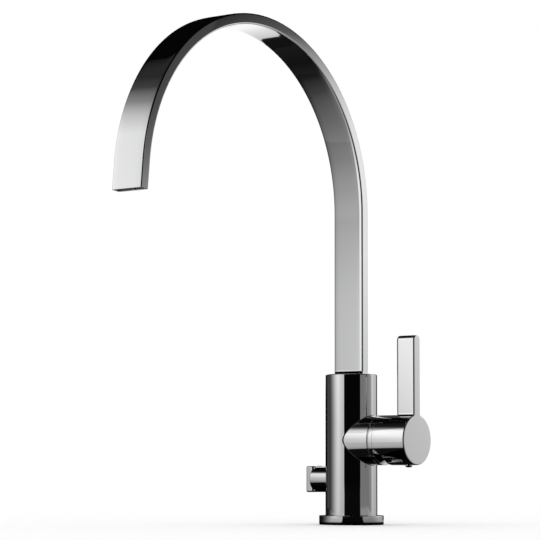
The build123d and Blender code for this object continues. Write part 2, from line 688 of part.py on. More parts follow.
cap_r = shell_bore_r - cap_gap
groove_half = swivel_range + degrees(asin(stop_pin_d / 2 / stop_tip_r)) + stop_groove_spare
with BuildPart() as spout_spigot:
    disc_z(spigot_bottom, cap_bottom, spigot_d)
    disc_z(cap_bottom, body_top, 2 * cap_r)
    with BuildSketch(Plane.XY.offset(body_top)):
        RectangleRounded(spout_w, spout_t, spout_corner)
    extrude(amount=spout_start - body_top)
    disc_z(spigot_bottom, cap_bottom + fit_gap, spigot_bore_d, mode=Mode.SUBTRACT)
    with BuildSketch(Plane.XY.offset(cap_bottom)):
        Rectangle(foot_passage_w, foot_passage_t)
    extrude(amount=spout_start - cap_bottom, mode=Mode.SUBTRACT)
    # ring grooves
    for ring_mid in (ring_low_z, ring_top_z):
        with BuildSketch(Plane.XY.offset(ring_mid - oring_section / 2 - fit_gap)):
            Circle(spigot_d / 2)
            Circle(chamber_d / 2 - fit_gap - oring_section, mode=Mode.SUBTRACT)
        extrude(amount=oring_section + 2 * fit_gap, mode=Mode.SUBTRACT)
    # groove for the stop screw's tip, as long as the swivel needs
    with BuildSketch(Plane.XY.offset(stop_z - stop_pin_d / 2 - fit_gap)):
        with BuildLine():
            groove_out = CenterArc((0, 0), spigot_d, 90 - groove_half, 2 * groove_half)
            floor_r = spigot_d / 2 - stop_groove_depth
            groove_in = CenterArc((0, 0), floor_r, 90 - groove_half, 2 * groove_half)
            Line(groove_out @ 0, groove_in @ 0)
            Line(groove_out @ 1, groove_in @ 1)
        make_face()
    extrude(amount=stop_pin_d + 2 * fit_gap, mode=Mode.SUBTRACT)
save(spout_spigot.part, "spout_spigot")

with BuildPart() as spigot_o_rings:
    for ring_mid in (ring_low_z, ring_top_z):
        ring_low = ring_mid - oring_section / 2
        disc_z(ring_low, ring_low + oring_section, chamber_d - 2 * shaft_gap)
    disc_z(spigot_bottom, cap_bottom, chamber_d - 2 * fit_gap - 2 * oring_section, mode=Mode.SUBTRACT)
save(spigot_o_rings.part, "spigot_o_rings")

tube_end = tail_len - nozzle_inset - nozzle_len
with BuildPart() as filter_tube:
    with BuildLine(Plane.YZ) as filter_line:
        spout_line(filter_tube_bottom, tube_end)
    with BuildSketch(Plane.XY.offset(filter_tube_bottom)):
        Circle(filter_tube_d / 2)
        Circle(filter_tube_d / 2 - filter_tube_wall, mode=Mode.SUBTRACT)
    sweep(path=filter_line.wires()[0])
save(filter_tube.part, "filter_tube")

seal_top_z = chamber_floor - filter_seal_drop
with BuildPart() as filter_tube_seal:
    ring_z(seal_top_z - filter_seal_h, seal_top_z, filter_socket_d, filter_tube_d + 2 * shaft_gap)
save(filter_tube_seal.part, "filter_tube_seal")

inner_w = spout_w - 2 * spout_wall
inner_t = spout_t - 2 * spout_wall
with BuildPart() as outlet_insert:
    with BuildSketch(mouth_plane.offset(-mouth_inset)):
        Rectangle(inner_w - 2 * fit_gap, inner_t - 2 * fit_gap)
        cell_pitch = (inner_w - insert_rib) / insert_cells
        with GridLocations(cell_pitch, 1, insert_cells, 1):
            Rectangle(cell_pitch - insert_rib, inner_t - 2 * insert_rib, mode=Mode.SUBTRACT)
        Circle((inner_t - 2 * fit_gap) / 2)
        Circle(nozzle_d / 2 + fit_gap / 2, mode=Mode.SUBTRACT)
    extrude(amount=-insert_len)
save(outlet_insert.part, "outlet_insert")

with BuildPart() as filter_nozzle:
    with BuildSketch(mouth_plane.offset(-nozzle_inset)):
        Circle(nozzle_d / 2)
        Circle(nozzle_bore_d / 2, mode=Mode.SUBTRACT)
    extrude(amount=-nozzle_len)
save(filter_nozzle.part, "filter_nozzle")
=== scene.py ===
"""Looks of the three way filtered water tap, laid out as an add-on.

Each operator models one piece, or a group of like pieces, over the fixed
frame. All lengths are in metres, +Z is up and the spout reaches towards -Y.
"""

from math import cos, pi, radians, sin

import bmesh
import bpy
from mathutils import Matrix, Vector


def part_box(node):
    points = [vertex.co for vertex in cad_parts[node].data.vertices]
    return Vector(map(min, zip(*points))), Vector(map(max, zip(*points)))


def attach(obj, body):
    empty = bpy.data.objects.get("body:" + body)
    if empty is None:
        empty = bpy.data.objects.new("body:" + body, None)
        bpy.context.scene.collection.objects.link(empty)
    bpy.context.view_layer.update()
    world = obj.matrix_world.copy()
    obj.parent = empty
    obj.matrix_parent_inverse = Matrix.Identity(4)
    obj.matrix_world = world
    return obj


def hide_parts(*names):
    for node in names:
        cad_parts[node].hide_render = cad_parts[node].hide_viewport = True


bl_info = {
    "name": "Filtered water tap",
    "version": (1, 0, 0),
    "blender": (4, 5, 0),
    "location": "View3D > Sidebar > Tap",
    "description": "Models the polished pieces of a three way tap and its studio",
    "category": "Add Mesh",
}

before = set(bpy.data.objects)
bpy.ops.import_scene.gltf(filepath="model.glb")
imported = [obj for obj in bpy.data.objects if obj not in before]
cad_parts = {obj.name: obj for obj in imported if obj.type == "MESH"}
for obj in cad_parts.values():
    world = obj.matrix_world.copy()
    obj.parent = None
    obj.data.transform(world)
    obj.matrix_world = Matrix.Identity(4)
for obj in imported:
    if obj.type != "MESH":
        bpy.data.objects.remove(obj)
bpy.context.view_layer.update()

MM = 0.001
X_AXIS = Vector((1, 0, 0))
Z_AXIS = Vector((0, 0, 1))
MERGED = 1e-6  # corners closer than this become one
ON_ROUND = 1e-4  # how far a corner may lie off a round wall and still belong to it
SHARP = radians(60)  # edges that bend more than this are outlines
SMOOTH = radians(35)  # edges that bend less than this are shaded smooth


# ---------------------------------------------------------------- places read from the frame
def node_high(node):
    """Upper corner of a solid's box."""
    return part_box(node)[1]


def middle(node):
    """Middle of a solid's box."""
    low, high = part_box(node)
    return (low + high) / 2


MIXER_Z = middle("collar_ring").z
VALVE_Z = middle("filter_knob").z


def on_mixer_axis(x):
    """A place on the axis of the neck and the barrel."""
    return (x, 0, MIXER_Z)


def from_mixer_axis(place):
    """How far a place lies from the axis of the neck and the barrel."""
    return Vector((place.y, place.z - MIXER_Z)).length


# ---------------------------------------------------------------- picking
def clear_selection():
    """Be in object mode with nothing selected."""
    if bpy.context.mode != "OBJECT":
        bpy.ops.object.mode_set(mode="OBJECT")
    bpy.ops.object.select_all(action="DESELECT")


def make_active(obj):
    """Select one piece and nothing else."""
    clear_selection()
    obj.select_set(True)
    bpy.context.view_layer.objects.active = obj


def edit(obj, kind="FACE"):
    """Go into edit mode on one piece with nothing selected."""
    make_active(obj)
    bpy.ops.object.mode_set(mode="EDIT")
    bpy.ops.mesh.select_mode(type=kind)
    bpy.ops.mesh.select_all(action="DESELECT")


def leave_edit():
    """Go back to object mode."""
    bpy.ops.object.mode_set(mode="OBJECT")


def near(a, b, tolerance=1e-5):
    """Whether two values are as good as equal."""
    return abs(a - b) < tolerance


def both_ends(test):
    """The test of an edge whose two ends each pass the test of a place."""
    return lambda a, b: test(a) and test(b)


def edges_at(axis, place):
    """The test of an edge that lies square to an axis, "x" or "z", at one place along it."""
    return both_ends(lambda end: near(getattr(end, axis), place))


def pick_faces(obj, test):
    """Select the faces whose middle and normal pass the test."""
    bm = bmesh.from_edit_mesh(obj.data)
    bm.normal_update()
    for face in bm.faces:
        face.select_set(test(face.calc_center_median(), face.normal))
    bm.select_flush_mode()
    bmesh.update_edit_mesh(obj.data)


def pick_edges(obj, test, bend=None):
    """Select the edges that pass the test, and whose faces meet at more than bend."""
    bm = bmesh.from_edit_mesh(obj.data)
    bm.normal_update()
    for edge in bm.edges:
        good = test(edge.verts[0].co, edge.verts[1].co)
        if good and bend is not None:
            good = len(edge.link_faces) == 2 and abs(edge.calc_face_angle(0.0)) > bend
        edge.select_set(good)
    bm.select_flush_mode()
    bmesh.update_edit_mesh(obj.data)


def pick_verts(obj, test):
    """Select the corners whose place passes the test."""
    bm = bmesh.from_edit_mesh(obj.data)
    for vert in bm.verts:
        vert.select_set(test(vert.co))
    bm.select_flush_mode()
    bmesh.update_edit_mesh(obj.data)


def merge_all():
    """Make corners that coincide one, and leave everything selected."""
    bpy.ops.mesh.select_all(action="SELECT")
    bpy.ops.mesh.remove_doubles(threshold=MERGED)


def face_outwards():
    """Turn every face of the piece in edit mode outwards."""
    bpy.ops.mesh.select_all(action="SELECT")
    bpy.ops.mesh.normals_make_consistent(inside=False)


# ---------------------------------------------------------------- forming
def name_piece(name):
    """Name the object just added and put its origin at the world's."""
    obj = bpy.context.object
    obj.name = name
    obj.data.name = name
    bpy.ops.object.transform_apply(location=True, rotation=True, scale=True)
    return obj


def turned(name, profile, along="X", level=0.0, sides=192, closed="RING"):
    """A piece as a lathe turns it: a circle pulled through (place, radius) steps along an axis.

    RING joins the last circle to the first, BOTH closes the two ends, OPEN leaves them.
    """
    clear_selection()
    way, turn = (X_AXIS, (0, pi / 2, 0)) if along == "X" else (Z_AXIS, (0, 0, 0))
    across = Vector((1, 1, 1)) - way
    axis = Z_AXIS * level
    place, radius = profile[0]
    bpy.ops.mesh.primitive_circle_add(
        vertices=sides, radius=radius, fill_type="NOTHING",
        location=axis + way * place, rotation=turn,
    )
    obj = name_piece(name)
    bpy.ops.object.mode_set(mode="EDIT")
    bpy.ops.mesh.select_mode(type="EDGE")
    bpy.ops.mesh.select_all(action="SELECT")
    for next_place, next_radius in profile[1:]:
        bpy.ops.mesh.extrude_edges_move(
            TRANSFORM_OT_translate={"value": way * (next_place - place)}
        )
        if not near(next_radius, radius, 1e-7):
            bpy.ops.transform.resize(
                value=way + across * (next_radius / radius),
                center_override=axis + way * next_place,
            )
        place, radius = next_place, next_radius
    bpy.ops.mesh.select_all(action="DESELECT")
    bpy.ops.mesh.select_non_manifold(extend=False)
    if closed == "RING":
        bpy.ops.mesh.bridge_edge_loops()
    elif closed == "BOTH":
        bpy.ops.mesh.fill_holes(sides=0)
    face_outwards()
    leave_edit()
    return obj


def round_edges(obj, test, width, steps, bend=radians(30)):
    """Bevel the chosen edges of a piece."""
    edit(obj, "EDGE")
    pick_edges(obj, test, bend)
    bpy.ops.mesh.bevel(offset=width, segments=steps, affect="EDGES", clamp_overlap=False)
    leave_edit()


def cut(obj, tool, how="DIFFERENCE"):
    """Cut, join or cross a piece with a tool, which is used up."""
    make_active(obj)
    boolean = obj.modifiers.new("cut", "BOOLEAN")
    boolean.operation = how
    boolean.solver = "EXACT"
    boolean.object = tool
    bpy.ops.object.modifier_apply(modifier=boolean.name)
    bpy.data.objects.remove(tool, do_unlink=True)


def drill(radius, start, end, sides=96):
    """A plain round tool from start to end, for holes."""
    clear_selection()
    start, end = Vector(start), Vector(end)
    way = end - start
    bpy.ops.mesh.primitive_cylinder_add(
        vertices=sides, radius=radius, depth=way.length, location=(start + end) / 2,
        rotation=way.to_track_quat("Z", "Y").to_euler(),
    )
    return name_piece("drill")


def block(low, high):
    """A plain square tool between two corners."""
    clear_selection()
    low, high = Vector(low), Vector(high)
    bpy.ops.mesh.primitive_cube_add(size=1, location=(low + high) / 2, scale=high - low)
    return name_piece("block")


def finish_surface(obj, finish):
    """Polish a piece: merged, smooth round its bends, flat faces kept flat."""
    make_active(obj)
    bpy.ops.object.mode_set(mode="EDIT")
    merge_all()
    face_outwards()
    leave_edit()
    bpy.ops.object.shade_smooth_by_angle(angle=SMOOTH)
    weighted = obj.modifiers.new("even normals", "WEIGHTED_NORMAL")
    weighted.keep_sharp = True
    weighted.weight = 100
    bpy.ops.object.modifier_apply(modifier=weighted.name)
    coat(obj, finish_named(finish))


def true_round(obj, along, level, radius, low, high):
    """Give a round wall the shading of a whole cylinder, free of the marks that cuts leave."""
    sheath = turned("sheath", [(low, radius), (high, radius)], along, level, 256, "OPEN")
    bpy.ops.object.shade_smooth()
    make_active(obj)
    wall = obj.vertex_groups.new(name="wall")
    slack = 0.02 * MM
    on_wall = []
    for vert in obj.data.vertices:
        x, y, z = vert.co
        place, across = (x, Vector((y, z - level))) if along == "X" else (z, Vector((x, y)))
        if abs(across.length - radius) < slack and low - slack < place < high + slack:
            on_wall.append(vert.index)
    wall.add(on_wall, 1, "REPLACE")
    copy = obj.modifiers.new("round shading", "DATA_TRANSFER")
    copy.object = sheath
    copy.use_loop_data = True
    copy.data_types_loops = {"CUSTOM_NORMAL"}
    copy.loop_mapping = "POLYINTERP_NEAREST"
    copy.vertex_group = wall.name
    bpy.ops.object.modifier_apply(modifier=copy.name)
    obj.vertex_groups.clear()
    bpy.data.objects.remove(sheath, do_unlink=True)


def join(obj, other):
    """Join a second closed form to a piece, keeping both shadings."""
    make_active(obj)
    other.select_set(True)
    bpy.ops.object.join()


def fit_in(obj, body, slot, *nodes):
    """Say what a piece rides on and which solids it stands for; slot, its finish, is not used."""
    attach(obj, body)
    if nodes:
        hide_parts(*nodes)


# ---------------------------------------------------------------- finishes
def coat(obj, material):
    """Give a piece one finish in place of any it has."""
    obj.data.materials.clear()
    obj.data.materials.append(material)


def new_finish(name, metallic=0.0):
    """A new material, with its nodes and its surface shader."""
    material = bpy.data.materials.new(name)
    material.use_nodes = True
    tree = material.node_tree
    shader = tree.nodes["Principled BSDF"]
    shader.inputs["Metallic"].default_value = metallic
    return material, tree, shader


def link(tree, source, out, target, socket):
    """Lead one node's output to another's input."""
    tree.links.new(source.outputs[out], target.inputs[socket])


def noise_of(tree, scale, detail, stretch=(1, 1, 1)):
    """Noise on the piece's own coordinates."""
    place = tree.nodes.new("ShaderNodeTexCoord")
    mapping = tree.nodes.new("ShaderNodeMapping")
    mapping.inputs["Scale"].default_value = stretch
    noise = tree.nodes.new("ShaderNodeTexNoise")
    noise.inputs["Scale"].default_value = scale
    noise.inputs["Detail"].default_value = detail
    link(tree, place, "Object", mapping, "Vector")
    link(tree, mapping, "Vector", noise, "Vector")
    return noise


def vary(tree, shader, pattern, dark, light, rough_low, rough_high):
    """Let a pattern change a surface's colour and roughness."""
    tint = tree.nodes.new("ShaderNodeMix")
    tint.data_type = "RGBA"
    tint.inputs["A"].default_value = (*dark, 1)
    tint.inputs["B"].default_value = (*light, 1)
    link(tree, pattern, "Fac", tint, "Factor")
    link(tree, tint, "Result", shader, "Base Color")
    rough = tree.nodes.new("ShaderNodeMapRange")
    rough.inputs["To Min"].default_value = rough_low
    rough.inputs["To Max"].default_value = rough_high
    link(tree, pattern, "Fac", rough, "Value")
    link(tree, rough, "Result", shader, "Roughness")


def emboss(tree, shader, pattern, strength, height):
    """Let a pattern raise and lower a surface a little."""
    bump = tree.nodes.new("ShaderNodeBump")
    bump.inputs["Strength"].default_value = strength
    bump.inputs["Distance"].default_value = height
    link(tree, pattern, "Fac", bump, "Height")
    link(tree, bump, "Normal", shader, "Normal")


def chrome_finish(name):
    """Polished chrome: faint clouds in its tint, faint waves in its surface."""
    look = bpy.context.scene.tap_look
    material, tree, shader = new_finish(name, 1.0)
    mean = look.chrome_roughness
    cloud = noise_of(tree, scale=38.0, detail=4.0)
    vary(tree, shader, cloud, look.chrome_dark, look.chrome, mean * 0.6, mean * 1.4)
    wave = noise_of(tree, scale=55.0, detail=1.0)
    emboss(tree, shader, wave, strength=look.chrome_wave, height=0.2 * MM)
    return material


def metal_finish(name, dark, light, rough_low, rough_high, grain, stretch):
    """Machined metal with fine streaks."""
    material, tree, shader = new_finish(name, 1.0)
    streak = noise_of(tree, grain, detail=5.0, stretch=stretch)
    vary(tree, shader, streak, dark, light, rough_low, rough_high)
    emboss(tree, shader, streak, strength=0.15, height=0.1 * MM)
    return material


def moulded_finish(name, dark, light, rough_low, rough_high, specular=0.5):
    """Plastic, rubber or ceramic with fine specks."""
    material, tree, shader = new_finish(name)
    shader.inputs["Specular IOR Level"].default_value = specular
    speck = noise_of(tree, scale=900.0, detail=3.0)
    vary(tree, shader, speck, dark, light, rough_low, rough_high)
    emboss(tree, shader, speck, strength=0.2, height=0.05 * MM)
    return material


# how each finish is made: darker and lighter colour, lowest and highest roughness, and for
# metals the grain and its stretch, for moulded ones the specular level where it isn't plain
FINISHES = {
    "polished_chrome": (chrome_finish,),
    "machined_brass": (
        metal_finish, (0.62, 0.44, 0.18), (0.8, 0.6, 0.28), 0.22, 0.4, 60.0, (1, 1, 14),
    ),
    "dark_chrome": (
        metal_finish, (0.02, 0.02, 0.022), (0.04, 0.04, 0.043), 0.3, 0.4, 60.0, (1, 1, 1),
    ),
    "screw_steel": (
        metal_finish, (0.42, 0.42, 0.43), (0.6, 0.6, 0.61), 0.25, 0.42, 300.0, (1, 1, 1),
    ),
    "seal_rubber": (
        moulded_finish, (0.015, 0.015, 0.015), (0.03, 0.03, 0.031), 0.6, 0.8, 0.3,
    ),
    "white_plastic": (moulded_finish, (0.74, 0.74, 0.72), (0.82, 0.82, 0.8), 0.35, 0.5),
    "dark_plastic": (moulded_finish, (0.01, 0.01, 0.011), (0.018, 0.018, 0.02), 0.35, 0.5),
    "fired_ceramic": (moulded_finish, (0.78, 0.77, 0.72), (0.86, 0.85, 0.8), 0.12, 0.2),
}


def finish_named(name):
    """The finish of that name, made once."""
    if name in bpy.data.materials:
        return bpy.data.materials[name]
    maker, *values = FINISHES[name]
    return maker(name, *values)


# ---------------------------------------------------------------- sizes and colours
class TapLook(bpy.types.PropertyGroup):
    """Colours and surface quality."""

    chrome: bpy.props.FloatVectorProperty(
        name="Chrome", description="Lighter tint of the chrome", subtype="COLOR",
        default=(0.975, 0.978, 0.98), min=0, max=1, size=3,
    )
    chrome_dark: bpy.props.FloatVectorProperty(
        name="Chrome shade", description="Darker tint of the chrome", subtype="COLOR",
        default=(0.955, 0.958, 0.96), min=0, max=1, size=3,
    )
    chrome_roughness: bpy.props.FloatProperty(
        name="Chrome roughness", description="How much the polish blurs what it mirrors",
        default=0.03, min=0.0, max=1.0, subtype="FACTOR",
    )
    chrome_wave: bpy.props.FloatProperty(
        name="Chrome waviness", description="Faint waves that polishing leaves in the surface",
        default=0.02, min=0.0, max=1.0, subtype="FACTOR",
    )


class TapSizes(bpy.types.PropertyGroup):
    """Sizes of the polished pieces that the frame's boxes don't give."""

    flange_edge: bpy.props.FloatProperty(
        name="Flange edge", description="Rounding of the foot flange's edges",
        default=0.6 * MM, unit="LENGTH",
    )
    body_edge: bpy.props.FloatProperty(
        name="Body top edge", description="Rounding round the top of the body",
        default=1.0 * MM, unit="LENGTH",
    )
    body_foot: bpy.props.FloatProperty(
        name="Body foot edge", description="Rounding where the body meets the flange",
        default=0.4 * MM, unit="LENGTH",
    )
    body_wall: bpy.props.FloatProperty(
        name="Body wall", description="Wall of the outer body",
        default=2.5 * MM, unit="LENGTH",
    )
    neck_radius: bpy.props.FloatProperty(
        name="Neck radius", description="Radius of the neck, the collar and the barrel",
        default=21.4 * MM, unit="LENGTH",
    )
    small_edge: bpy.props.FloatProperty(
        name="Small edge", description="Rounding of the neck's and the collar's edges",
        default=0.6 * MM, unit="LENGTH",
    )
    lever_corner: bpy.props.FloatProperty(
        name="Lever corner", description="Rounded corners at the lever's top",
        default=3.8 * MM, unit="LENGTH",
    )
    bar_width: bpy.props.FloatProperty(
        name="Bar width", description="Width of the lever's bar, along the barrel",
        default=18.8 * MM, unit="LENGTH",
    )
    lever_edge: bpy.props.FloatProperty(
        name="Lever end edge", description="Rounding round the lever's end disc and bar",
        default=1.2 * MM, unit="LENGTH",
    )
    lever_inner_edge: bpy.props.FloatProperty(
        name="Lever inner edge", description="Rounding of the bar on the body's side",
        default=2.9 * MM, unit="LENGTH",
    )
    spout_wall: bpy.props.FloatProperty(
        name="Spout wall", description="Wall of the spout's flat tube",
        default=1.2 * MM, unit="LENGTH",
    )
    spout_corner: bpy.props.FloatProperty(
        name="Spout corner", description="Rounding along the spout's edges",
        default=1.3 * MM, unit="LENGTH",
    )
    bend_radius: bpy.props.FloatProperty(
        name="Bend radius", description="Radius of the spout's arch at its middle line",
        default=147.0 * MM, unit="LENGTH",
    )
    bend_angle: bpy.props.FloatProperty(
        name="Bend angle", description="How far round the arch goes",
        default=radians(174.5), subtype="ANGLE",
    )
    bend_z: bpy.props.FloatProperty(
        name="Bend height", description="Height where the riser turns into the arch",
        default=270.5 * MM, unit="LENGTH",
    )
    tail: bpy.props.FloatProperty(
        name="Spout end", description="Straight length after the arch",
        default=22.0 * MM, unit="LENGTH",
    )


# ---------------------------------------------------------------- pieces
class TAP_OT_flange(bpy.types.Operator):
    """Model the foot flange with its gasket groove"""

    bl_idname = "tap.flange"
    bl_label = "Foot flange"

    def execute(self, context):
        sizes = context.scene.tap_sizes
        low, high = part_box("base_flange")
        gasket = node_high("base_gasket")
        outer = high.y
        inner = node_high("body_core").y + 0.1 * MM
        groove_in = inner + 2.0 * MM
        profile = [
            (high.z, inner), (high.z, outer), (low.z, outer), (low.z, gasket.y),
            (gasket.z, gasket.y), (gasket.z, groove_in), (low.z, groove_in), (low.z, inner),
        ]
        piece = turned("foot_flange", profile, "Z")
        at_rim = both_ends(lambda end: near(end.xy.length, outer, ON_ROUND))
        round_edges(piece, at_rim, sizes.flange_edge, 4)
        finish_surface(piece, "polished_chrome")
        fit_in(piece, "body", "chrome", "base_flange")
        return {"FINISHED"}


class TAP_OT_body(bpy.types.Operator):
    """Model the outer body with its neck and its openings"""

    bl_idname = "tap.body"
    bl_label = "Outer body"

    def execute(self, context):
        sizes = context.scene.tap_sizes
        low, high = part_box("body_shell")
        radius = high.y
        bore = radius - sizes.body_wall
        piece = turned(
            "outer_body",
            [(low.z, bore), (low.z, radius), (high.z, radius), (high.z, bore)],
            "Z", sides=256,
        )
        for z, width, steps in ((high.z, sizes.body_edge, 4), (low.z, sizes.body_foot, 3)):
            at_rim = both_ends(
                lambda end: near(end.z, z) and near(end.xy.length, radius, ON_ROUND)
            )
            round_edges(piece, at_rim, width, steps)
        # neck for the mixer: a tube of its own that closes round the body
        start, end = 3 * MM, high.x
        outside, throat, pocket = sizes.neck_radius, 17.5 * MM, 19.0 * MM
        pocket_floor = 26.5 * MM
        neck = turned(
            "neck",
            [(start, throat), (start, outside), (end, outside),
             (end, pocket), (pocket_floor, pocket), (pocket_floor, throat)],
            "X", MIXER_Z, 256,
        )
        at_end = both_ends(lambda v: near(v.x, end) and from_mixer_axis(v) > pocket + 1 * MM)
        round_edges(neck, at_end, sizes.small_edge, 3)
        half_height = 40 * MM
        sunk = radius - 0.6 * MM
        core = turned(
            "core", [(MIXER_Z - half_height, sunk), (MIXER_Z + half_height, sunk)],
            "Z", sides=256, closed="BOTH",
        )
        cut(neck, core)
        finish_surface(neck, "polished_chrome")
        true_round(neck, "X", MIXER_Z, outside, 1 * MM, end - sizes.small_edge)
        # openings for the mixer, for the filtered water valve and for the stop screw
        cut(piece, drill(18.5 * MM, on_mixer_axis(0), on_mixer_axis(end + 2 * MM), 128))
        knob_gap = node_high("filter_knob").y + 0.3 * MM
        cut(piece, drill(knob_gap, (-30 * MM, 0, VALVE_Z), (-5 * MM, 0, VALVE_Z), 128))
        stop_z = middle("spout_stop_screw").z
        cut(piece, drill(2.4 * MM, (0, 10 * MM, stop_z), (0, 30 * MM, stop_z), 48))
        finish_surface(piece, "polished_chrome")
        true_round(piece, "Z", 0, radius, low.z + sizes.body_foot, high.z - sizes.body_edge)
        join(piece, neck)
        fit_in(piece, "body", "chrome", "body_shell")
        return {"FINISHED"}


class TAP_OT_seam_shade(bpy.types.Operator):
    """Model the dark ring of painted shade that runs where the neck leaves the body"""

    bl_idname = "tap.seam"
    bl_label = "Neck seam"

    def execute(self, context):
        # a thin tube on the neck, crossed with a thin skin on the body
        neck = context.scene.tap_sizes.neck_radius
        start, end = 2 * MM, 26 * MM
        sunk, proud = neck - 0.3 * MM, neck + 0.36 * MM
        piece = turned(
            "neck_seam", [(start, sunk), (start, proud), (end, proud), (end, sunk)],
            "X", MIXER_Z, 256,
        )
        body = node_high("body_shell").y
        low, high = MIXER_Z - 30 * MM, MIXER_Z + 30 * MM
        sunk, proud = body - 0.5 * MM, body + 0.03 * MM
        skin = turned(
            "skin", [(low, sunk), (low, proud), (high, proud), (high, sunk)], "Z", sides=256
        )
        cut(piece, skin, "INTERSECT")
        # its dark rubber finish is painted shade for the gap between neck and body; no seal lies
        # there
        finish_surface(piece, "seal_rubber")
        fit_in(piece, "body", "rubber")
        return {"FINISHED"}


class TAP_OT_collar(bpy.types.Operator):
    """Model the collar between the neck and the lever's barrel"""

    bl_idname = "tap.collar"
    bl_label = "Collar"

    def execute(self, context):
        sizes = context.scene.tap_sizes
        low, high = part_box("collar_ring")
        radius = sizes.neck_radius
        step = radius - 1.2 * MM
        face = low.x + 0.7 * MM
        bore = radius - 3.2 * MM
        lip = bore - 2.9 * MM
        lip_x = high.x - 1.3 * MM
        profile = [
            (lip_x, bore), (low.x, bore), (low.x, step), (face, step), (face, radius),
            (high.x, radius), (high.x, lip), (lip_x, lip),
        ]
        piece = turned("collar_band", profile, "X", MIXER_Z, 256)
        for x, width, steps in ((face, sizes.small_edge, 3), (high.x, 0.12 * MM, 2)):
            at_rim = both_ends(
                lambda end: near(end.x, x) and near(from_mixer_axis(end), radius, ON_ROUND)
            )
            round_edges(piece, at_rim, width, steps)
        # hole of the set screw, forwards and down
        down = radians(54)
        way = Vector((0, -cos(down), -sin(down)))
        start = Vector(on_mixer_axis(33.4 * MM))
        cut(piece, drill(1.5 * MM, start + way * 12 * MM, start + way * 26 * MM, 40))
        finish_surface(piece, "polished_chrome")
        fit_in(piece, "body", "chrome", "collar_ring")
        return {"FINISHED"}


def flat_bar(name, start, end, foot, top, half, reach, root, root_angle, corner):
    """A flat bar along X with hollow arcs at its foot and round arcs at its top, closed.

    The hollow arcs have the radius root. Their middles lie as far as reach from the mixer's
    axis, at root_angle to either side of straight up.
    """
    clear_selection()
    foot_y = (reach - root) * sin(root_angle)
    bpy.ops.mesh.primitive_plane_add(size=1, location=((start + end) / 2, 0, foot))
    bpy.context.object.scale = (end - start, 2 * foot_y, 1)
    bar = name_piece(name)
    edit(bar, "EDGE")
    root_z = MIXER_Z + (reach - root) * cos(root_angle)
    side_low = MIXER_Z + reach * cos(root_angle)
    for side in (-1, 1):
        pick_edges(
            bar,
            lambda a, b: near(a.y, side * foot_y) and near(b.y, side * foot_y) and near(a.z, foot),
        )
        bpy.ops.mesh.extrude_edges_move(
            TRANSFORM_OT_translate={"value": Z_AXIS * (root_z - foot)}
        )
        bpy.ops.mesh.spin(
            steps=10, angle=-side * (pi / 2 - root_angle),
            center=(0, side * reach * sin(root_angle), side_low), axis=(-1, 0, 0),
        )
        bpy.ops.mesh.extrude_edges_move(
            TRANSFORM_OT_translate={"value": Z_AXIS * (top - corner - side_low)}
        )
        bpy.ops.mesh.spin(
            steps=8, angle=-side * pi / 2,
            center=(0, side * (half - corner), top - corner), axis=(1, 0, 0),
        )
    touch = 2 * MERGED
    pick_edges(
        bar, lambda a, b: near(a.z, top, touch) and near(b.z, top, touch) and near(a.y, b.y)
    )
    bpy.ops.mesh.edge_face_add()
    merge_all()
    for x in (start, end):
        pick_edges(bar, edges_at("x", x))
        bpy.ops.mesh.edge_face_add()
    face_outwards()
    leave_edit()
    return bar


